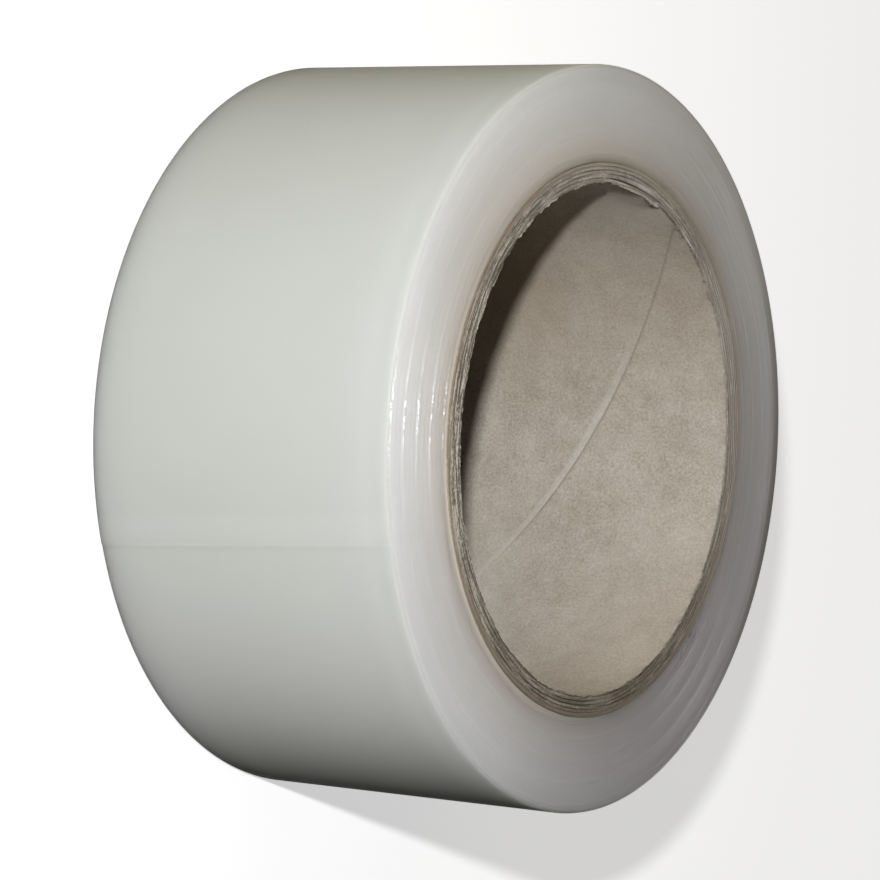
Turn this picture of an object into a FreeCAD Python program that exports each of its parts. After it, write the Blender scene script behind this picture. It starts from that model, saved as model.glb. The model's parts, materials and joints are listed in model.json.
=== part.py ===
import FreeCAD, Part

import math
import os

from FreeCAD import Vector

# Driving dimensions, in millimetres and degrees.
# The roll stands on one end: +Z is its axis, and z = 0 is the surface that it stands on.
# Angles turn from +X towards +Y.

# Paperboard core, wound from plies
core_bore = 76.2            # diameter that a spindle or dispenser hub goes into
ply_thickness = 0.58
ply_count = 5
ply_groove_width = 0.16     # V groove where two plies meet on the upper cut end
ply_groove_depth = 0.12
core_stand_out = 0.4        # how far each cut end of the core stands out of the film

# Butt seam of the innermost ply, a helix along the bore
seam_lead = 146.8           # rise in one turn
seam_top_angle = 152.1      # where the seam reaches the upper end
seam_gap_top = 0.3          # the ply's edges part a little towards the lower end
seam_gap_bottom = 0.4
seam_slice_count = 11       # slices that the gap is lofted through

# Film with its adhesive
film_thickness = 0.13
film_width = 51.4
turn_count = 111
rim_bevel = 0.5             # the outermost turns are pressed in a little at both rims
free_end_angle = 287.5      # where the outermost turn ends, cut straight across

# Turns that wandered sideways as they were wound: a spiral ridge on the upper end
wander_turns = 4
wander_height = 0.1
wander_pitch = 3.25         # radial step of the spiral in one turn
wander_start_angle = 294.0
wander_rim_margin = 0.57
wander_core_margin = 0.1

# Sizes that follow
bore_radius = core_bore / 2
core_radius = bore_radius + ply_count * ply_thickness
core_length = film_width + 2 * core_stand_out
film_bottom = core_stand_out
film_top = film_bottom + film_width
roll_radius = core_radius + turn_count * film_thickness
wander_width = wander_turns * film_thickness

UP = Vector(0, 0, 1)


def polar(radius, angle, z=0.0):
    turned = math.radians(angle)
    return Vector(radius * math.cos(turned), radius * math.sin(turned), z)


def half_turn(start_radius, step, start_angle, number):
    """Centre, radius and first heading of one half turn of a flat spiral.

    The spiral's radius changes by step in each whole turn. Its half turns are arcs about
    two centres, half a step apart, and each arc runs smoothly into the next.
    """
    heading = start_angle + 180 * number
    radius = start_radius + step * (number + 0.5) / 2
    return polar(-step / 4, heading), radius, heading


def spiral_edges(start_radius, step, start_angle, count, z):
    edges = []
    for number in range(count):
        centre, radius, heading = half_turn(start_radius, step, start_angle, number)
        points = [centre + polar(radius, heading + turned, z) for turned in (0, 90, 180)]
        edges.append(Part.Arc(*points).toShape())
    return edges


def film_half(number):
    """Half of the wound film, solid to the middle, with its bevelled rims."""
    first_radius = roll_radius - film_thickness
    centre, radius, heading = half_turn(first_radius, film_thickness, free_end_angle, number)

    outline = [
        (0, film_bottom),
        (radius - rim_bevel, film_bottom),
        (radius, film_bottom + rim_bevel),
        (radius, film_top - rim_bevel),
        (radius - rim_bevel, film_top),
        (0, film_top),
    ]
    corners = [centre + polar(r, heading, z) for r, z in outline]
    section = Part.makePolygon(corners + corners[:1])
    return Part.Face(section).revolve(centre, UP, 180)


def wander_band():
    """The wandering turns as a flat spiral band, half of it above the film's upper end."""
    outer_start = roll_radius - wander_rim_margin
    inner_start = outer_start - wander_width
    room = inner_start - core_radius - wander_core_margin
    count = int(room / (wander_pitch / 2))
    base = film_top - wander_height
    outer = spiral_edges(outer_start, -wander_pitch, wander_start_angle, count, base)
    inner = spiral_edges(inner_start, -wander_pitch, wander_start_angle, count, base)
    start = Part.makeLine(inner[0].valueAt(inner[0].FirstParameter),
                          outer[0].valueAt(outer[0].FirstParameter))
    end = Part.makeLine(outer[-1].valueAt(outer[-1].LastParameter),
                        inner[-1].valueAt(inner[-1].LastParameter))
    outline = Part.Wire(Part.sortEdges(outer + [end] + inner + [start])[0])
    return Part.Face(outline).extrude(UP * 2 * wander_height)


def make_tape():
    """All turns of the film as one solid, with the free end as a step on the outside."""
    film = film_half(0).fuse(film_half(1))
    middle = Part.makeCylinder(core_radius, core_length)
    return film.cut(middle).fuse(wander_band()).removeSplitter()


def seam_angle(z):
    return seam_top_angle + (z - core_length) / seam_lead * 360


def seam_slice(z):
    """Outline of an upright slice through the seam's gap, one ply deep."""
    gap = seam_gap_top + (seam_gap_bottom - seam_gap_top) * (core_length - z) / core_length
    slope = math.atan(seam_lead / (math.pi * core_bore))
    half_height = gap / math.cos(slope) / 2
    near, far = bore_radius - ply_thickness, bore_radius + ply_thickness
    angle = seam_angle(z)
    corners = [
        polar(near, angle, z - half_height),
        polar(far, angle, z - half_height),
        polar(far, angle, z + half_height),
        polar(near, angle, z + half_height),
    ]
    return Part.makePolygon(corners + corners[:1])


def seam_gap():
    """The gap between the innermost ply's edges, run on past both ends of the core."""
    run_on = 2 * seam_gap_bottom
    spacing = (core_length + 2 * run_on) / (seam_slice_count - 1)
    slices = [seam_slice(-run_on + number * spacing) for number in range(seam_slice_count)]
    return Part.makeLoft(slices, True, False)


def ply_groove(radius):
    """Ring with a diamond section: the half of it inside the core cuts the V groove."""
    corners = [
        Vector(radius - ply_groove_width / 2, 0, core_length),
        Vector(radius, 0, core_length - ply_groove_depth),
        Vector(radius + ply_groove_width / 2, 0, core_length),
        Vector(radius, 0, core_length + ply_groove_depth),
    ]
    diamond = Part.Face(Part.makePolygon(corners + corners[:1]))
    return diamond.revolve(Vector(), UP, 360)


def make_core():
    """The paperboard tube, with its cut ends, ply joints and the seam in its bore."""
    tube = Part.makeCylinder(core_radius, core_length)
    tube = tube.cut(Part.makeCylinder(bore_radius, core_length))
    for number in range(1, ply_count):
        tube = tube.cut(ply_groove(bore_radius + number * ply_thickness))
    return tube.cut(seam_gap())


def main():
    os.makedirs("parts", exist_ok=True)
    for node, shape in (("core", make_core()), ("tape", make_tape())):
        shape.exportStep(f"parts/{node}.step")
        print(node, shape.ShapeType, "solids", len(shape.Solids), "valid", shape.isValid(),
              "volume", round(shape.Volume, 1))


main()
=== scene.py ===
"""A roll of milky polyethylene tape wound on a spiral-wound paperboard core.

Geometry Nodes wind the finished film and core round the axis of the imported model, in place
of its plain solids. The roll stands on its end, lit by a small lamp beside the camera.
"""
import bpy
import json
import math
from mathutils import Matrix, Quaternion, Vector


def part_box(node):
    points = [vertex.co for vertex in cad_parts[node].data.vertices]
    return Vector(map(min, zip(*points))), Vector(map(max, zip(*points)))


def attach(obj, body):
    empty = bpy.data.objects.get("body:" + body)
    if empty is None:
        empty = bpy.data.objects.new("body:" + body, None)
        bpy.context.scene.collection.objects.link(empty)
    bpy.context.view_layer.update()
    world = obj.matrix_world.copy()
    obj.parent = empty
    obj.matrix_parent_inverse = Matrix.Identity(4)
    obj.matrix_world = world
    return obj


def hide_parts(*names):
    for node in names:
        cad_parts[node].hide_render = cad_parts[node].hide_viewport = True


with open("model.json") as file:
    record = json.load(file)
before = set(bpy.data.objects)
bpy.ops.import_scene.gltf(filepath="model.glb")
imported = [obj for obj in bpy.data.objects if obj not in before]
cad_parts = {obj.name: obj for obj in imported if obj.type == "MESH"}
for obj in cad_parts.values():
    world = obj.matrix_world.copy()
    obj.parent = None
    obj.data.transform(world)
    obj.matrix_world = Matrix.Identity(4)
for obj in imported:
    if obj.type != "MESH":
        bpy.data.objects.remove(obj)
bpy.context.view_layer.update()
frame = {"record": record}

bl_info = {
    "name": "Tape roll",
    "version": (1, 0, 0),
    "blender": (4, 5, 0),
    "location": "View3D > Sidebar > Tape roll",
    "description": "Builds a roll of polyethylene tape on a paperboard core, and a stage for it",
    "category": "Object",
}

MM = 0.001
TURN = 2 * math.pi
TAPE_LOW, TAPE_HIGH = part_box("tape")
CORE_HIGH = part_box("core")[1]
CORE_BORE = next(mount for mount in frame["record"]["mounts"] if mount["name"] == "core_bore")

WHITE = (1.0, 1.0, 1.0)

# The plain solids, where the finished pieces are fitted to them
FILM_THICKNESS = 0.13 * MM
PAST_LOWEST = 17.5 / 360        # share of a turn from -Y, where the box ends, to the free end
RIDGE_STANDS_OUT = 0.1 * MM     # the solid's ridge above the wound end
FILM_DEPTH = 14.4 * MM
CORE_WALL = 2.9 * MM

WELD = 0.002 * MM               # points closer than this are joined
MILKINESS = 7 * MM              # how far light scatters in the film

# Light that comes from no lamp, and how bright its sources look
WORLD_LIGHT, WORLD_SEEN = 0.028, 0.95
GLOSS_SHARE = 0.12              # the part of that brightness that a gloss picks up
FLOOR_REACH = 6.0
FLOOR_DROP = 0.02 * MM          # keeps the floor clear of the core's cut end
FLOOR_THROWS = (0.08, 0.08, 0.08)
FLOOR_GLOW = 0.55

# Weak lamps: direction round the roll, height, distance, width, power and tint
WEAK_LAMPS = {
    "side_lamp": (math.radians(170), math.radians(22), 1.0, 0.7, 1.65, (1.0, 0.89, 0.62)),
    "back_lamp": (math.radians(75), math.radians(0.5), 0.5, 0.09, 0.6, WHITE),
}
NEAREST_SEEN, FARTHEST_SEEN = 0.01, 30.0


def focal(name, description, millimetres):
    """A size of the camera in millimetres."""
    return bpy.props.FloatProperty(
        name=name, description=description, default=millimetres, unit="CAMERA")


def length(name, description, default):
    """A size in metres."""
    return bpy.props.FloatProperty(
        name=name, description=description, default=default, unit="LENGTH", precision=5)


def angle(name, description, degrees):
    """An angle, with its default in degrees."""
    return bpy.props.FloatProperty(
        name=name, description=description, default=math.radians(degrees), subtype="ANGLE")


def colour(name, description, default):
    """A colour as its shares of red, green and blue."""
    return bpy.props.FloatVectorProperty(
        name=name, description=description, default=default, subtype="COLOR", size=3,
        min=0.0, max=1.0)


class FilmSettings(bpy.types.PropertyGroup):
    """The wound film, its free end and the turns that wander over its upper end."""
    thickness: length("Thickness", "One turn of the film", FILM_THICKNESS)
    roll_radius: length(
        "Roll radius", "Radius at the free end of the outermost turn",
        -TAPE_LOW.y + FILM_THICKNESS * PAST_LOWEST)
    core_radius: length("Inner radius", "Where the first turn lies on the core", CORE_HIGH.x)
    bottom: length("Lower end", "Height of the lower wound end", TAPE_LOW.z)
    top: length("Upper end", "Height of the upper wound end", TAPE_HIGH.z - RIDGE_STANDS_OUT)
    rim: length("Rim", "Rounding of the two outer rims", 0.5 * MM)
    free_end: angle("Free end", "Where the outermost turn stops at the upper end", 286.35)
    skew: angle("Skew", "How much farther round the free end is at the lower end", 3.15)
    step_length: length("Step length", "Arc over which the free end steps down", 0.5 * MM)
    loose_length: length("Loose length", "Length of film that lies lightly on the roll", 5.0 * MM)
    ridge_height: length("Ridge height", "How far a wandering turn stands out", 0.07 * MM)
    ridge_width: length("Ridge width", "Width of the group of turns that wander", 0.9 * MM)
    ridge_pitch: length("Ridge pitch", "Step of the ridge inwards in each turn", 3.25 * MM)
    ridge_radius: length("Ridge radius", "Middle of the ridge where it starts", 54.6 * MM)
    ridge_start: angle("Ridge start", "Where the ridge starts", 294.0)
    colour: colour("Colour", "Milky film, seen through its depth", (0.69, 0.71, 0.67))


class CoreSettings(bpy.types.PropertyGroup):
    """The paperboard tube, its seam and the loose corner of its inner ply."""
    bore_radius: length("Bore radius", "Radius of the hole", CORE_BORE["dims"]["r_mm"] * MM)
    outer_radius: length("Outer radius", "Radius of the paperboard", CORE_HIGH.x)
    height: length("Length", "Length of the tube", CORE_HIGH.z)
    ply: length("Ply", "Thickness of one ply", 0.58 * MM)
    seam_lead: length("Seam lead", "Rise of the seam in one turn", 146.8 * MM)
    seam_top: angle("Seam at the top", "Where the seam meets the upper end", 152.1)
    gap_top: length("Gap at the top", "Width of the seam at the upper end", 0.3 * MM)
    gap_bottom: length("Gap at the bottom", "Width of the seam at the lower end", 0.2 * MM)
    gap_depth: length("Gap depth", "Depth of the seam", 0.14 * MM)
    curl: length("Curl", "How far the ply stands up beside the lower half of the seam", 0.2 * MM)
    curl_width: length("Curl width", "Length of arc that stands up", 3.4 * MM)
    peel: length("Peel", "How far the loose corner of the inner ply stands in", 0.42 * MM)


class StageSettings(bpy.types.PropertyGroup):
    """The camera, the main lamp and the floor."""
    camera_distance: length("Camera distance", "From the middle of the upper end", 552.08 * MM)
    camera_height: angle("Camera height", "Above the upper end", 31.242)
    camera_roll: angle("Camera roll", "About the line of sight", 93.065)
    aim_side: length("Aim to the side", "Where the camera looks, along +X", 1.27 * MM)
    aim_height: length("Aim height", "Where the camera looks, above the floor", 23.44 * MM)
    lens: focal("Lens", "Focal length", 152.47)
    sensor: focal("Sensor", "Width of the sensor", 36.0)
    lamp_side: angle("Lamp side", "Direction of the main lamp round the roll", -98.5)
    lamp_height: angle("Lamp height", "Main lamp above the floor", 32.1)
    lamp_distance: length("Lamp distance", "From the middle of the roll", 0.561)
    lamp_width: length("Lamp width", "Width of the main lamp", 0.018)
    lamp_power: bpy.props.FloatProperty(
        name="Lamp power", description="Main lamp in watts", default=2.9, unit="POWER")
    floor: colour("Floor", "Pale floor", (0.8, 0.8, 0.8))


class Value:
    """A node's output that can be reckoned with: each operator adds a Math node."""

    def __init__(self, graph, node, output=0):
        self.graph, self.node = graph, node
        self.socket = node.outputs[output]

    def out(self, output):
        return Value(self.graph, self.node, output)

    def math(self, operation, *others):
        inputs = dict(enumerate((self, *others)))
        return self.graph.node("ShaderNodeMath", {"operation": operation}, inputs)

    def __add__(self, other):
        return self.math("ADD", other)

    __radd__ = __add__

    def __sub__(self, other):
        return self.math("SUBTRACT", other)

    def __rsub__(self, other):
        return self.graph.node("ShaderNodeMath", {"operation": "SUBTRACT"}, {0: other, 1: self})

    def __mul__(self, other):
        return self.math("MULTIPLY", other)

    __rmul__ = __mul__

    def __truediv__(self, other):
        return self.math("DIVIDE", other)

    def __rtruediv__(self, other):
        return self.graph.node("ShaderNodeMath", {"operation": "DIVIDE"}, {0: other, 1: self})

    def ramp(self, low, high, start=0.0, end=1.0):
        """Eases from start, where the value is low, to end, where it is high."""
        return self.graph.node(
            "ShaderNodeMapRange", {"interpolation_type": "SMOOTHSTEP"},
            {"Value": self, "From Min": low, "From Max": high, "To Min": start, "To Max": end})

    def lowest(self, other):
        return self.math("MINIMUM", other)

    def highest(self, other):
        return self.math("MAXIMUM", other)

    def size(self):
        return self.math("ABSOLUTE")

    def near(self, middle, reach):
        """1 where the value is middle, easing to 0 at reach on both sides."""
        return (self - middle).size().ramp(0.0, reach, 1.0, 0.0)

    def facing(self, middle, reach):
        """The same as near for a direction round the axis, with both in degrees."""
        return self.near(math.radians(middle), math.radians(reach))


class Graph:
    """One node tree, grown by node(): settings are set first, then the sockets."""

    def __init__(self, tree):
        self.tree = tree
        tree.nodes.clear()

    def node(self, kind, settings=None, inputs=None, output=0):
        made = self.tree.nodes.new(kind)
        for name, setting in (settings or {}).items():
            if name == "stops":
                self.set_stops(made.color_ramp, setting)
            else:
                setattr(made, name, setting)
        for key, value in (inputs or {}).items():
            if isinstance(value, Value):
                self.tree.links.new(value.socket, made.inputs[key])
            elif isinstance(value, (list, tuple)) and value and isinstance(value[0], Value):
                for one in value:
                    self.tree.links.new(one.socket, made.inputs[key])
            else:
                made.inputs[key].default_value = value
        return Value(self, made, output) if made.outputs else None

    @staticmethod
    def set_stops(ramp, stops):
        while len(ramp.elements) < len(stops):
            ramp.elements.new(1.0)
        for element, (position, shade) in zip(ramp.elements, stops):
            element.position, element.color = position, (*shade, 1.0)

    def vector(self, x, y, z):
        return self.node("ShaderNodeCombineXYZ", None, {0: x, 1: y, 2: z})

    def noise(self, vector, scale, seed, detail=2.0, roughness=0.5):
        """Noise from 0 to 1 about 0.5, the same for the same seed."""
        return self.node(
            "ShaderNodeTexNoise", {"noise_dimensions": "4D"},
            {"Vector": vector, "W": seed, "Scale": scale, "Detail": detail,
             "Roughness": roughness})

    def ring_course(self, radius, turn, across, around):
        """Noise coordinates that stretch along the turns, with no join where a turn closes."""
        return self.vector(
            radius / across, turn.math("COSINE") * around, turn.math("SINE") * around)

    def blend(self, factor, first, second):
        """Mixes two colours, for which a Mix node has inputs 6 and 7 and output 2."""
        first, second = (
            shade if isinstance(shade, Value) else (*shade, 1.0) for shade in (first, second))
        return self.node(
            "ShaderNodeMix", {"data_type": "RGBA"}, {0: factor, 6: first, 7: second}, output=2)

    def layers(self, base, *paints):
        """Lays colours over a base one after another, each as strongly as its factor."""
        for factor, shade in paints:
            base = self.blend(factor, base, shade)
        return base

    def bumped(self, height):
        """The surface's normal, tilted by a height in metres."""
        return self.node(
            "ShaderNodeBump", None, {"Strength": 1.0, "Distance": 1.0, "Height": height})


class Maker(Graph):
    """A geometry node tree that winds grids round the Z axis into a closed ring."""

    def __init__(self, name, sizes):
        super().__init__(bpy.data.node_groups.new(name, "GeometryNodeTree"))
        self.sizes = sizes
        self.strips = []
        interface = self.tree.interface
        for title in sizes:
            interface.new_socket(title, in_out="INPUT", socket_type="NodeSocketFloat")
        interface.new_socket("Geometry", in_out="OUTPUT", socket_type="NodeSocketGeometry")
        self.group = self.node("NodeGroupInput")

    def size(self, title):
        """One of the tree's named inputs."""
        return self.group.out(title)

    def strip(self, columns, rings, place):
        """A grid of columns round the axis and rings along the section.

        place turns the column and ring numbers into an angle, a radius and a height.
        """
        grid = self.node(
            "GeometryNodeMeshGrid", None,
            {"Size X": float(columns), "Size Y": float(rings),
             "Vertices X": columns + 1, "Vertices Y": rings + 1})
        position = self.node("GeometryNodeInputPosition")
        parts = self.node("ShaderNodeSeparateXYZ", None, {0: position})
        column, ring = parts + columns / 2, parts.out(1) + rings / 2
        turn, radius, height = place(column.math("ROUND"), ring.math("ROUND"))
        spot = self.vector(
            radius * turn.math("COSINE"), radius * turn.math("SINE"), height)
        self.strips.append(self.node("GeometryNodeSetPosition", None, {0: grid, "Position": spot}))

    def finish(self, material, sharp_angle):
        """Joins the strips into one closed, smooth skin with its material."""
        joined = self.node("GeometryNodeJoinGeometry", None, {0: self.strips})
        closed = self.node("GeometryNodeMergeByDistance", None, {0: joined, "Distance": WELD})
        smooth = self.node(
            "GeometryNodeSetShadeSmooth", {"domain": "FACE"}, {0: closed, "Shade Smooth": True})
        fold = self.node("GeometryNodeInputMeshEdgeAngle")
        creased = self.node("GeometryNodeSetShadeSmooth", {"domain": "EDGE"}, {
            0: smooth, "Selection": fold.math("GREATER_THAN", sharp_angle),
            "Shade Smooth": False})
        real = self.node("GeometryNodeRealizeInstances", None, {0: creased})
        dressed = self.node("GeometryNodeSetMaterial", None, {0: real, "Material": material})
        self.node("NodeGroupOutput", None, {0: dressed})

    def piece(self, name):
        """Evaluates the tree on an object and keeps the result as its plain mesh."""
        made = bpy.data.objects.new(name, bpy.data.meshes.new(name))
        bpy.context.scene.collection.objects.link(made)
        modifier = made.modifiers.new("maker", "NODES")
        modifier.node_group = self.tree
        for item in self.tree.interface.items_tree:
            if item.in_out == "INPUT":
                modifier[item.identifier] = self.sizes[item.name]
        seen = made.evaluated_get(bpy.context.evaluated_depsgraph_get())
        mesh = bpy.data.meshes.new_from_object(seen)
        made.modifiers.remove(modifier)
        made.data = mesh
        return made


def surface(name):
    """A new material and its empty graph."""
    material = bpy.data.materials.new(name)
    material.use_nodes = True
    return material, Graph(material.node_tree)


def polar(graph):
    """A point of the surface in Object coordinates, and its radius, turn and height."""
    place = graph.node("ShaderNodeTexCoord").out("Object")
    parts = graph.node("ShaderNodeSeparateXYZ", None, {0: place})
    x, y, z = parts, parts.out(1), parts.out(2)
    radius = (x * x + y * y).math("SQRT")
    return place, radius, y.math("ARCTAN2", x), z


def film_material(film):
    """Milky film: deep scattering, a satin skin, and the edges of its turns at both ends."""
    material, graph = surface("milky film")
    place, radius, turn, height = polar(graph)
    on_end = radius.ramp(film.roll_radius - 0.25 * MM, film.roll_radius - 0.8 * MM)
    on_upper = on_end * height.ramp(film.top - 5 * MM, film.top - 2 * MM)

    def streaks(pitch, along, seed, detail=2.0):
        """Noise in long arcs round the axis: pitch across them, along their length."""
        course = graph.ring_course(radius, turn, pitch, film.roll_radius / along)
        return graph.noise(course, 1.0, seed, detail)

    # How far a point of the upper end lies from the spiral of the wandering turns
    ridge_place = (film.ridge_radius - radius) / film.ridge_pitch - (
        turn - film.ridge_start) / TURN
    waver = (streaks(4 * MM, 9 * MM, seed=7.0) - 0.5) * (0.5 * MM)
    off_ridge = (ridge_place - ridge_place.math("ROUND")) * film.ridge_pitch + waver
    # Lines of the wandering turns, which get painted highlights on the wound end
    ridge_highlight = off_ridge.near(-0.05 * MM, 0.36 * MM) * on_upper

    # Painted light and shade round the wall: painted light at -48 degrees, painted shade at -8
    # degrees where the wall turns from the lamp, and a painted warm tint of the side lamp's light
    # on the far side; also a cooler band under its upper rim
    wall = graph.layers(
        graph.blend(graph.noise(place, 60.0, seed=1.0), (0.665, 0.685, 0.635), film.colour),
        # Painted light
        (turn.facing(-48, 34) * 0.55, (0.80, 0.80, 0.77)),
        # Painted shade where the wall turns from the lamp
        (turn.facing(-8, 34) * 0.5, (0.42, 0.385, 0.30)),
        # Painted warm tint of the side lamp's light
        (turn.size().ramp(math.radians(143), math.radians(168)) * 0.48, (0.62, 0.605, 0.50)),
        (height.ramp(film.top - 14 * MM, film.top - 2 * MM) * turn.facing(-90, 90) * 0.3,
         (0.69, 0.69, 0.715)))

    # The wound end: brown next to the core, where the board shows through, and pale outside, with
    # painted light and shade round the roll and painted highlights along the wandering turns
    from_core = (radius - film.core_radius) / FILM_DEPTH
    end = graph.layers(
        graph.node("ShaderNodeValToRGB", {"stops": [
            (0.0, (0.60, 0.505, 0.39)), (0.1, (0.76, 0.685, 0.60)),
            (0.28, (0.82, 0.785, 0.745)), (0.5, (0.84, 0.83, 0.81)),
            (0.72, (0.87, 0.87, 0.868)), (1.0, (0.78, 0.78, 0.775))]}, {0: from_core}),
        (streaks(0.4 * MM, 10 * MM, seed=2.0) * 0.1, (0.56, 0.55, 0.50)),
        # Painted shade, darker and purplish, on the side away from the lamp
        (turn.facing(42, 80) * 0.75, (0.745, 0.68, 0.715)),
        # Painted shade inwards from the rim, at about -128 and -62 degrees round the axis
        (radius.ramp(58 * MM, 46 * MM) * turn.facing(-128, 56) * 0.46, (0.54, 0.51, 0.44)),
        (radius.ramp(57 * MM, 50 * MM) * turn.facing(-62, 40) * 0.2, (0.60, 0.57, 0.53)),
        # Painted light on the far side, out from the core
        (radius.ramp(42 * MM, 50 * MM) * turn.facing(140, 50) * 0.7, (0.95, 0.92, 0.90)),
        # Painted highlights along the wandering turns, strongest on the side away from the lamp
        (ridge_highlight * (0.08 + 0.2 * turn.facing(90, 60)), (0.95, 0.93, 0.93)))

    # Film that lies lightly before the free end is paler. The step there gets painted light that
    # evens out its shade, and the rim's rounding gets painted shade that evens out the light it
    # catches.
    slant = (film.top - height) * (film.skew / (film.top - film.bottom))
    free_arc = (slant + (film.free_end - TURN) - turn) * film.roll_radius
    on_wall = 1.0 - on_end
    lying_loose = free_arc.ramp(0.0, 0.15 * MM) * free_arc.ramp(
        film.loose_length, film.loose_length * 0.6) * on_wall
    step_painted_light = free_arc.near(-0.2 * MM, 0.5 * MM) * on_wall
    # Painted shade on the rim's rounding, against the light it catches
    rim_painted_shade = radius.ramp(film.roll_radius - 0.7 * MM, film.roll_radius - 0.4 * MM) * height.ramp(
        film.top - 4.5 * MM, film.top - 0.8 * MM)
    shade = graph.layers(
        graph.blend(on_end, wall, end),
        (lying_loose * 0.3, (0.75, 0.76, 0.735)),
        (step_painted_light * 0.21, (0.90, 0.91, 0.88)),
        (rim_painted_shade * 0.25, (0.45, 0.46, 0.43)))

    # Each turn's edge is a small slope that rises over most of its thickness and drops again.
    rising = 0.78
    edge_place = radius / film.thickness + turn / TURN + streaks(0.5 * MM, 20 * MM, seed=6.0) * 3.0
    along_edge = edge_place - edge_place.math("FLOOR")
    edges = (1.0 - along_edge / rising).highest((along_edge - rising) / (1.0 - rising))
    milky = graph.node("ShaderNodeBsdfPrincipled", {"subsurface_method": "RANDOM_WALK"}, {
        "Base Color": shade, "Roughness": 0.52,
        "Normal": graph.bumped(edges * on_end * (1.2 * rising * film.thickness)),
        "Subsurface Weight": 1.0, "Subsurface Radius": (1.0, 1.0, 1.0),
        "Subsurface Scale": MILKINESS, "Specular IOR Level": 0.25, "IOR": 1.5})

    # Beads of gloss on the outer flanks of the wandering turns, which lean outwards.
    on_face = height.ramp(film.top - 0.5 * MM, film.top - 0.2 * MM)
    beads = streaks(0.4 * MM, 0.4 * MM, seed=4.0, detail=1.0).ramp(0.46, 0.54)
    stretches = streaks(2.5 * MM, 3.0 * MM, seed=8.0).ramp(0.3, 0.5)
    on_flank = off_ridge.near(-0.05 * MM, 0.5 * MM).ramp(0.3, 0.9) * (
        beads * stretches * turn.facing(-92, 16) * on_face)
    tilt = 0.9 + 1.2 * streaks(0.4 * MM, 0.35 * MM, seed=9.0, detail=1.0)
    outwards = graph.vector(turn.math("COSINE"), turn.math("SINE"), 0.0)
    upright = graph.node("ShaderNodeNewGeometry").out("Normal")
    leant = graph.node("ShaderNodeVectorMath", {"operation": "MULTIPLY_ADD"}, {
        0: outwards, 1: graph.vector(tilt, tilt, tilt), 2: upright})
    glossy = graph.node("ShaderNodeBsdfPrincipled", None, {
        "Base Color": (0.82, 0.84, 0.84, 1.0), "Roughness": 0.36,
        "Normal": graph.node("ShaderNodeVectorMath", {"operation": "NORMALIZE"}, {0: leant}),
        "Specular IOR Level": 0.5, "IOR": 1.5})

    # Next to the core, on the lamp's side only, a plain tan skin where the board shows through
    # stands in for the milky film as a lit copy of it, and at the rim away from the lamp a dark
    # plain skin is painted shade.
    by_core_lit = graph.node("ShaderNodeBsdfDiffuse", None, {"Color": (0.80, 0.75, 0.66, 1.0)})
    # Painted shade at the rim away from the lamp
    far_rim = graph.node("ShaderNodeBsdfDiffuse", None, {"Color": (0.23, 0.212, 0.205, 1.0)})
    at_core_lit = radius.ramp(
        film.core_radius + 1.3 * MM, film.core_radius + 0.2 * MM) * turn.facing(-75, 110)
    at_far_rim = radius.ramp(
        film.roll_radius - 3.8 * MM, film.roll_radius - 0.9 * MM) * (
            turn.facing(78, 85) * on_face)
    shader = milky
    for factor, over in ((on_flank, glossy), (at_far_rim, far_rim), (at_core_lit, by_core_lit)):
        shader = graph.node("ShaderNodeMixShader", None, {0: factor, 1: shader, 2: over})
    graph.node("ShaderNodeOutputMaterial", None, {"Surface": shader})
    return material


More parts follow.
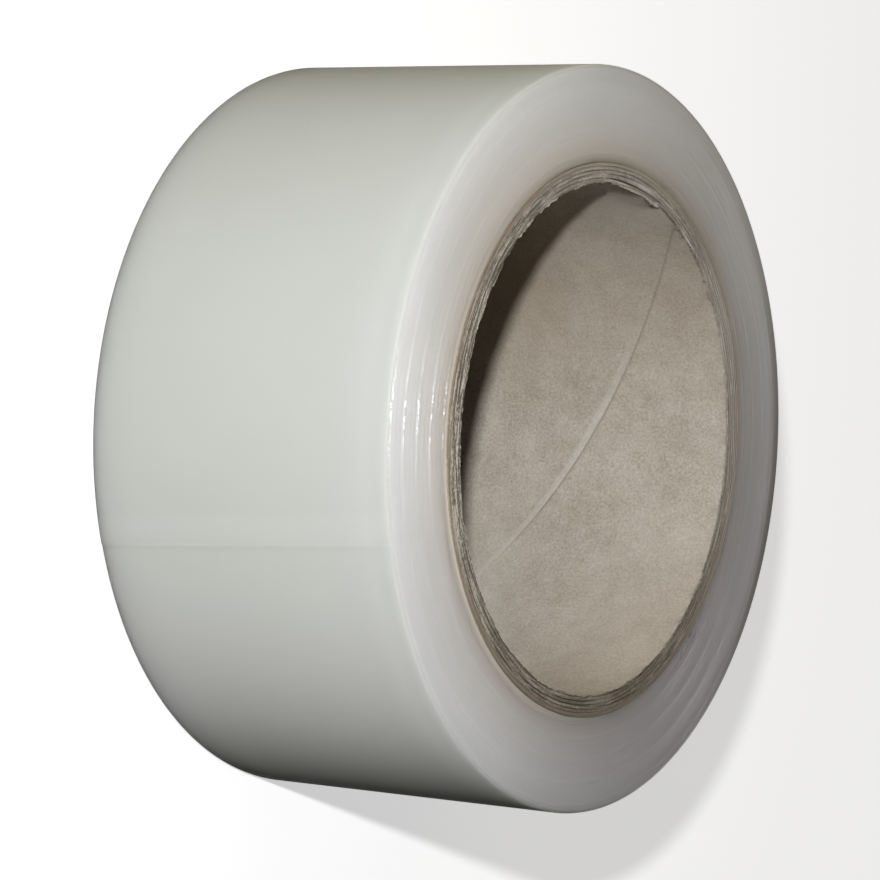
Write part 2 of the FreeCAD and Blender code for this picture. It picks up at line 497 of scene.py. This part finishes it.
def board_material(core):
    """Grey-brown paperboard: mottled in the bore, with cut plies at both ends."""
    material, graph = surface("spiral paperboard")
    place, radius, turn, height = polar(graph)
    on_end = (height - core.height / 2).size().ramp(
        core.height / 2 - 0.45 * MM, core.height / 2 - 0.2 * MM)
    in_end = on_end * radius.ramp(core.bore_radius - 0.9 * MM, core.bore_radius - 0.7 * MM)
    on_side = radius.ramp(core.outer_radius - 0.03 * MM, core.outer_radius - 0.005 * MM)

    def depth(start, stop, low=0.0, high=1.0):
        """Eases from low to high between two depths in mm below the upper end."""
        return height.ramp(core.height - start * MM, core.height - stop * MM, low, high)

    def patch(azimuth, reach, middle, reach_across):
        """A smooth spot round a direction in degrees and a radius in mm."""
        return turn.facing(azimuth, reach) * radius.near(middle * MM, reach_across * MM)

    def fibres(across, along, seed):
        """Long torn fibres in the cut end."""
        course = graph.ring_course(radius, turn, across, core.outer_radius / along)
        return graph.noise(course, 1.0, seed, roughness=0.6)

    # The bore, with the seam and its raised edge, painted light and shade round it, and darker and
    # paler bands in the lit quarter
    blotches = graph.noise(place, 330.0, seed=11.0, detail=3.0, roughness=0.6)
    grain = graph.noise(place, 2600.0, seed=12.0)
    clouds = graph.noise(place, 70.0, seed=13.0)
    mottle = (blotches - 0.5) * 1.0 + (grain - 0.5) * 2.0 + (clouds - 0.5) * 1.2 + 0.5
    seam = core.seam_top - (core.height - height) / core.seam_lead * TURN
    past_seam = ((turn - seam) / TURN + 0.5).math("FRACT") - 0.5
    off_seam = past_seam * (TURN * core.bore_radius)
    lit_curl = off_seam.ramp(3.2 * MM, 1.8 * MM) * off_seam.ramp(0.0, 0.3 * MM) * depth(12, 28)
    lit_quarter = turn.facing(45, 45) * 0.3
    bore = graph.layers(
        graph.node("ShaderNodeValToRGB", {"stops": [
            (0.0, (0.385, 0.335, 0.275)), (0.5, (0.50, 0.45, 0.385)),
            (1.0, (0.61, 0.56, 0.49))]}, {0: mottle}),
        # Painted shade round one side of the bore, stronger deeper down
        (turn.facing(130, 40) * depth(22, 34, 0.36, 0.6), (0.36, 0.30, 0.22)),
        # Painted light on the raised edge beside the seam
        (lit_curl * 0.4, (0.74, 0.71, 0.665)),
        # Painted shadow along the seam, below the raised edge
        (off_seam.near(-0.1 * MM, 0.7 * MM) * depth(44, 16, 0.08, 0.4), (0.26, 0.22, 0.17)),
        # Painted light near the top, by the loose corner
        (turn.size().ramp(math.radians(145), math.radians(166)) * depth(18, 4) * 0.6,
         (0.76, 0.70, 0.63)),
        # In the lit quarter, darker towards the top and paler lower down
        (lit_quarter * depth(30, 8), (0.42, 0.375, 0.315)),
        (lit_quarter * depth(22, 40), (0.70, 0.66, 0.60)))

    # The cut ends, with dark joints between the plies, and painted light and shade round the roll
    speckle = graph.noise(place, 3000.0, seed=16.0, detail=1.0)
    streak = fibres(0.3 * MM, 7 * MM, seed=14.0)
    short_streak = fibres(0.35 * MM, 1.2 * MM, seed=15.0)
    torn = (streak - 0.5) * 1.5 + (short_streak - 0.5) * 0.7 + (speckle - 0.5) * 0.7 + 0.5
    ply_place = (radius - core.bore_radius) / core.ply
    off_joint = (ply_place - ply_place.math("ROUND")).size() * core.ply
    joint = off_joint.ramp(0.07 * MM, 0.19 * MM, 1.0, 0.0) * streak.ramp(0.62, 0.45)
    outer_ply = radius.ramp(core.outer_radius - 0.85 * MM, core.outer_radius - 0.65 * MM)
    frayed = patch(167, 8, 38.95, 0.6).highest(patch(161, 1.4, 37.9, 0.7)).highest(
        patch(144, 7, 38.3, 0.4)) * speckle.ramp(0.3, 0.5)
    cut = graph.layers(
        graph.node("ShaderNodeValToRGB", {"stops": [
            (0.15, (0.13, 0.112, 0.088)), (0.5, (0.34, 0.295, 0.24)),
            (0.85, (0.64, 0.58, 0.51))]}, {0: torn}),
        (joint * 0.8, (0.07, 0.058, 0.045)),
        (outer_ply * 0.75, (0.33, 0.27, 0.21)),
        # Painted shade on the side away from the lamp
        (turn.facing(100, 75) * 0.6, (0.37, 0.335, 0.30)),
        # Painted light on the far side, towards -X
        (turn.facing(122, 24) * 0.3, (0.62, 0.57, 0.52)),
        (turn.size().ramp(math.radians(135), math.radians(172)) * 0.3, (0.56, 0.51, 0.45)),
        (frayed * 0.85, (0.72, 0.67, 0.62)),
        # Painted shade, darkest at about 14 degrees round the axis
        (turn.facing(14, 85) * 0.55, (0.12, 0.095, 0.065)),
        # Pale fibres, made paler by painted light on the lamp's side
        (turn.facing(-88, 48) * torn.ramp(0.45, 0.65) * 0.6, (0.66, 0.61, 0.53)))

    relief = grain * (0.05 * MM) + blotches * (0.03 * MM) + torn * in_end * (0.12 * MM)
    shader = graph.node("ShaderNodeBsdfPrincipled", None, {
        "Base Color": graph.layers(
            graph.blend(in_end, bore, cut), (on_side, (0.23, 0.19, 0.145))),
        "Roughness": 0.85 - 0.1 * grain, "Normal": graph.bumped(relief),
        "Specular IOR Level": 0.25})
    graph.node("ShaderNodeOutputMaterial", None, {"Surface": shader})
    return material


def wind_film(film):
    """The wound film as one closed skin, from its free end once round to the step under it."""
    columns = 400
    maker = Maker("wound film", {
        "Roll Radius": film.roll_radius, "Thickness": film.thickness,
        "Inner Radius": film.core_radius, "Lower End": film.bottom, "Upper End": film.top,
        "Rim": film.rim, "Free End": film.free_end, "Skew": film.skew,
        "Step Length": film.step_length, "Ridge Height": film.ridge_height,
        "Ridge Width": film.ridge_width, "Ridge Pitch": film.ridge_pitch,
        "Ridge Radius": film.ridge_radius, "Ridge Start": film.ridge_start, "Seed": 3.0})
    rim, lower_end, upper_end, inner_radius, thickness, roll_radius = map(maker.size, (
        "Rim", "Lower End", "Upper End", "Inner Radius", "Thickness", "Roll Radius"))

    def around(column, height):
        """Angle and outer radius of a column; the last one steps down onto the first."""
        share = (column / columns).lowest(1.0)
        step = (column - columns).highest(0.0)
        slope = maker.size("Step Length") / roll_radius
        slant = (upper_end - height) / (upper_end - lower_end) * maker.size("Skew")
        turn = maker.size("Free End") + slant + slope + share * (TURN - slope) + step * slope
        return turn, roll_radius + thickness * (share - 1.0 - step)

    def relief(turn, radius, outer, upper):
        """Height of the wandering turns, and of the smaller unevenness of the others."""
        place = (maker.size("Ridge Radius") - radius) / maker.size("Ridge Pitch") - (
            turn - maker.size("Ridge Start")) / TURN
        off = (place - place.math("ROUND")).size() * maker.size("Ridge Pitch")
        ridge = off.ramp(0.0, maker.size("Ridge Width") / 2, 1.0, 0.0)
        course = maker.ring_course(radius, turn, across=0.7 * MM, around=3.0)
        uneven = maker.noise(course, 1.0, maker.size("Seed")) - 0.5
        inside = (radius - inner_radius).ramp(0.3 * MM, 1.2 * MM) * (
            outer - radius).ramp(0.05 * MM, 0.35 * MM)
        return (ridge * maker.size("Ridge Height") * upper + uneven * (0.05 * MM)) * inside

    # The parts of the section, up the wall, in over the upper end and back along the core
    def wall(rings):
        def place(column, ring):
            height = lower_end + rim + (upper_end - lower_end - rim * 2.0) * (ring / rings)
            turn, outer = around(column, height)
            return turn, outer, height
        return place

    def rounding(rings, upper):
        def place(column, ring):
            bend = (ring / rings if upper else 1.0 - ring / rings) * (TURN / 4)
            reach = rim * bend.math("SINE") - rim
            height = upper_end + reach if upper else lower_end - reach
            turn, outer = around(column, height)
            return turn, outer - rim + rim * bend.math("COSINE"), height
        return place

    def face(rings, upper):
        def place(column, ring):
            turn, outer = around(column, upper_end if upper else lower_end)
            inward = ring / rings if upper else 1.0 - ring / rings
            edge = outer - rim
            radius = edge + (inner_radius - edge) * inward
            rise = relief(turn, radius, edge, float(upper))
            return turn, radius, upper_end + rise if upper else lower_end + rise
        return place

    def inner(rings):
        def place(column, ring):
            height = upper_end + (lower_end - upper_end) * (ring / rings)
            turn, _ = around(column, height)
            return turn, inner_radius, height
        return place

    for rings, section, *upper in (
            (8, wall), (4, rounding, True), (124, face, True),
            (2, inner), (84, face, False), (4, rounding, False)):
        maker.strip(columns + 1, rings, section(rings, *upper))
    maker.finish(film_material(film), sharp_angle=math.radians(35))
    return maker.piece("film")


def wind_core(core):
    """The paperboard tube as one closed skin, whose columns follow the seam on both sides."""
    ply_columns, gap_columns = 720, 4
    columns = ply_columns + 2 * gap_columns + 2
    maker = Maker("wound core", {
        "Bore Radius": core.bore_radius, "Outer Radius": core.outer_radius,
        "Length": core.height, "Ply": core.ply, "Seam Lead": core.seam_lead,
        "Seam Top": core.seam_top, "Gap Top": core.gap_top, "Gap Bottom": core.gap_bottom,
        "Gap Depth": core.gap_depth, "Peel": core.peel, "Curl": core.curl,
        "Curl Width": core.curl_width, "Seed": 7.0})
    bore, outer, tall, ply = map(maker.size, ("Bore Radius", "Outer Radius", "Length", "Ply"))
    gap_floor = bore + maker.size("Gap Depth")

    def around(column, height):
        """Angle of a column, 1 in the gap or 0 on the ply, and how far the ply stands up."""
        drop = tall - height
        open_share = drop.ramp(6 * MM, 34 * MM)
        half_gap = (maker.size("Gap Top") + (
            maker.size("Gap Bottom") - maker.size("Gap Top")) * open_share) / (bore * 2.0)
        seam = maker.size("Seam Top") - drop / maker.size("Seam Lead") * TURN
        first = (column / gap_columns).lowest(1.0)
        last = ((column - (columns - gap_columns)) / gap_columns).highest(0.0)
        main = ((column - (gap_columns + 1)) / ply_columns).highest(0.0).lowest(1.0)
        turn = seam + half_gap * (first + last) + (TURN - half_gap * 2.0) * main
        in_gap = (gap_columns + 1 - column).highest(0.0).lowest(1.0) + (
            column - (columns - gap_columns - 1)).highest(0.0).lowest(1.0)
        past_seam = main * bore * TURN
        curl = (past_seam / maker.size("Curl Width")).ramp(1.0, 0.0) * drop.ramp(
            18 * MM, 34 * MM) * height.ramp(0.0, 1.5 * MM) * maker.size("Curl")
        return turn, in_gap, curl

    def loose(turn, height):
        """How far the loose corner of the inner ply stands into the bore."""
        past = turn - maker.size("Seam Top")
        wrapped = past - (past / TURN).math("FLOOR") * TURN
        stretch = wrapped.ramp(math.radians(6.7), math.radians(9.2)) * wrapped.ramp(
            math.radians(31.5), math.radians(21))
        return stretch * (tall - height).ramp(7 * MM, 0.0) * maker.size("Peel")

    def burr(turn, height):
        """Torn edge of the bore at its two ends."""
        from_end = tall / 2 - (height - tall / 2).size()
        fine_steps, steps_up, coarse_steps = 76.0, 600.0, 12.0
        fine = maker.noise(maker.vector(
            turn.math("COSINE") * fine_steps, turn.math("SINE") * fine_steps,
            height * steps_up), 1.0, maker.size("Seed"), detail=1.0)
        coarse = maker.noise(maker.vector(
            turn.math("COSINE") * coarse_steps, turn.math("SINE") * coarse_steps, 0.0),
            1.0, maker.size("Seed"))
        return (fine.ramp(0.4, 0.75) * (0.3 * MM) + coarse.ramp(0.4, 0.7) * (0.3 * MM) - (
            0.05 * MM)) * from_end.ramp(1.5 * MM, 0.0)

    # The parts of the section, up the outside, over the upper end and down the bore
    def face(rings, upper):
        def place(column, ring):
            level = tall * float(upper)
            turn, in_gap, _ = around(column, level)
            inward = ring / rings if upper else 1.0 - ring / rings
            plain = outer + (bore - outer) * inward
            spacing = CORE_WALL / rings
            of_inner = (plain - bore - ply).ramp(spacing, -spacing)
            to_edge = ((bore + ply - plain) / ply).highest(0.0)
            slack = of_inner * 0.25 + (plain - bore).ramp(ply * 2.6, 0.0) * 0.75
            radius = plain - (loose(turn, level) * slack + burr(turn, level) * to_edge)
            radius = radius + (radius.highest(gap_floor) - radius) * in_gap

            ply_place = (plain - bore) / ply
            off_joint = (ply_place - ply_place.math("ROUND")).size() * ply
            inside = (outer - plain).ramp(0.0, spacing) * (plain - bore).ramp(0.0, spacing)
            groove = off_joint.ramp(0.0, 0.08 * MM, 1.0, 0.0) * inside
            behind = (plain - bore - ply).near(0.0, spacing)
            course = maker.ring_course(plain, turn, across=0.25 * MM, around=30.0)
            rough = (maker.noise(course, 1.0, maker.size("Seed"), detail=3.0) - 0.5) * (0.14 * MM)
            depth = groove * (0.12 * MM) + behind * loose(turn, level) * 4.0 + (
                rough + 0.06 * MM).highest(0.0) * inside
            return turn, radius, level - depth if upper else level + depth
        return place

    def bore_wall(rings):
        """The bore, with its rings closer together towards the torn ends."""
        def place(column, ring):
            level = tall * (0.5 + 0.5 * (ring / rings * math.pi).math("COSINE"))
            turn, in_gap, curl = around(column, level)
            on_ply = bore - loose(turn, level) - burr(turn, level) - curl
            return turn, on_ply + (gap_floor - on_ply) * in_gap, level
        return place

    def outer_wall(rings):
        def place(column, ring):
            level = tall * (ring / rings)
            turn, _, _ = around(column, level)
            return turn, outer, level
        return place

    for rings, section, *upper in (
            (24, outer_wall), (40, face, True), (44, bore_wall), (20, face, False)):
        maker.strip(columns, rings, section(rings, *upper))
    maker.finish(board_material(core), sharp_angle=math.radians(40))
    return maker.piece("paper_core")


class WindFilm(bpy.types.Operator):
    """Wind the film of the roll in place of the plain tape"""
    bl_idname = "tape_roll.wind_film"
    bl_label = "Wind the film"

    def execute(self, context):
        film = wind_film(context.scene.tape_film)
        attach(film, "root")
        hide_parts("tape")
        return {"FINISHED"}


class WindCore(bpy.types.Operator):
    """Wind the paperboard core in place of the plain one"""
    bl_idname = "tape_roll.wind_core"
    bl_label = "Wind the core"

    def execute(self, context):
        core = wind_core(context.scene.tape_core)
        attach(core, "root")
        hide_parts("core")
        return {"FINISHED"}


def seen_pale(graph):
    """1 where the camera looks, straight or through glass, and less where a gloss does."""
    path = graph.node("ShaderNodeLightPath")
    return path.out("Is Camera Ray").highest(path.out("Is Transmission Ray")).highest(
        path.out("Is Glossy Ray") * GLOSS_SHARE)


def make_floor(stage):
    """A wide pale floor that keeps the roll's shadow and throws little light back."""
    mesh = bpy.data.meshes.new("floor")
    corners = [
        (x * FLOOR_REACH, y * FLOOR_REACH, -FLOOR_DROP)
        for x, y in ((-1, -1), (1, -1), (1, 1), (-1, 1))]
    mesh.from_pydata(corners, [], [(0, 1, 2, 3)])
    floor = bpy.data.objects.new("floor", mesh)
    bpy.context.scene.collection.objects.link(floor)
    material, graph = surface("pale floor")
    seen = seen_pale(graph)
    shade = graph.blend(seen, FLOOR_THROWS, tuple(stage.floor))
    matte = graph.node("ShaderNodeBsdfDiffuse", None, {"Color": shade})
    glow = graph.node(
        "ShaderNodeEmission", None, {"Color": (*WHITE, 1.0), "Strength": seen * FLOOR_GLOW})
    both = graph.node("ShaderNodeAddShader", None, {0: matte, 1: glow})
    graph.node("ShaderNodeOutputMaterial", None, {"Surface": both})
    mesh.materials.append(material)


def make_lamp(name, side, height, distance, width, power, tint):
    """An area lamp that faces the middle of the roll."""
    lamp = bpy.data.lights.new(name, "AREA")
    lamp.shape, lamp.size, lamp.energy, lamp.color = "DISK", width, power, tint
    holder = bpy.data.objects.new(name, lamp)
    away = Vector((
        math.cos(side) * math.cos(height), math.sin(side) * math.cos(height),
        math.sin(height)))
    holder.location = Vector((0.0, 0.0, CORE_HIGH.z / 2)) + away * distance
    holder.rotation_euler = away.to_track_quat("Z", "Y").to_euler()
    holder.visible_camera = False
    bpy.context.scene.collection.objects.link(holder)


def make_world():
    """Dim light from all round, seen as white."""
    world = bpy.data.worlds.new("surroundings")
    world.use_nodes = True
    graph = Graph(world.node_tree)
    strength = seen_pale(graph) * (WORLD_SEEN - WORLD_LIGHT) + WORLD_LIGHT
    sky = graph.node("ShaderNodeBackground", None, {"Color": (*WHITE, 1.0), "Strength": strength})
    graph.node("ShaderNodeOutputWorld", None, {"Surface": sky})
    bpy.context.scene.world = world


def make_camera(stage):
    """A camera beside the lamp, turned so that the roll lies across the picture."""
    camera = bpy.data.cameras.new("camera")
    camera.lens, camera.sensor_width = stage.lens, stage.sensor
    camera.clip_start, camera.clip_end = NEAREST_SEEN, FARTHEST_SEEN
    holder = bpy.data.objects.new("camera", camera)
    away = Vector((0.0, -math.cos(stage.camera_height), math.sin(stage.camera_height)))
    middle_of_end = Vector((0.0, 0.0, bpy.context.scene.tape_film.top))
    aim = Vector((stage.aim_side, 0.0, stage.aim_height))
    holder.location = middle_of_end + away * stage.camera_distance
    level = (aim - holder.location).to_track_quat("-Z", "Y")
    holder.rotation_mode = "QUATERNION"
    holder.rotation_quaternion = level @ Quaternion((0.0, 0.0, 1.0), stage.camera_roll)
    bpy.context.scene.collection.objects.link(holder)
    bpy.context.scene.camera = holder


class SetStage(bpy.types.Operator):
    """Set up the floor, the lamps and the camera"""
    bl_idname = "tape_roll.set_stage"
    bl_label = "Set the stage"

    def execute(self, context):
        stage = context.scene.tape_stage
        make_floor(stage)
        make_world()
        make_lamp("main_lamp", stage.lamp_side, stage.lamp_height, stage.lamp_distance,
                  stage.lamp_width, stage.lamp_power, WHITE)
        for name, values in WEAK_LAMPS.items():
            make_lamp(name, *values)
        make_camera(stage)
        context.scene.view_settings.view_transform = "Standard"
        return {"FINISHED"}


class TapeRollPanel(bpy.types.Panel):
    """The roll's operators and sizes"""
    bl_idname = "VIEW3D_PT_tape_roll"
    bl_label = "Tape roll"
    bl_space_type = "VIEW_3D"
    bl_region_type = "UI"
    bl_category = "Tape roll"

    def draw(self, context):
        for operator, name in (
                (WindFilm, "tape_film"), (WindCore, "tape_core"), (SetStage, "tape_stage")):
            self.layout.operator(operator.bl_idname)
            settings = getattr(context.scene, name)
            column = self.layout.column()
            for setting in settings.__annotations__:
                column.prop(settings, setting)


CLASSES = (
    FilmSettings, CoreSettings, StageSettings, WindFilm, WindCore, SetStage, TapeRollPanel)


def register():
    for each in CLASSES:
        bpy.utils.register_class(each)
    bpy.types.Scene.tape_film = bpy.props.PointerProperty(type=FilmSettings)
    bpy.types.Scene.tape_core = bpy.props.PointerProperty(type=CoreSettings)
    bpy.types.Scene.tape_stage = bpy.props.PointerProperty(type=StageSettings)


def unregister():
    del bpy.types.Scene.tape_stage, bpy.types.Scene.tape_core, bpy.types.Scene.tape_film
    for each in reversed(CLASSES):
        bpy.utils.unregister_class(each)


def main():
    register()
    bpy.ops.tape_roll.wind_core()
    bpy.ops.tape_roll.wind_film()
    bpy.ops.tape_roll.set_stage()
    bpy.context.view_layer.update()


if __name__ == "__main__":
    main()
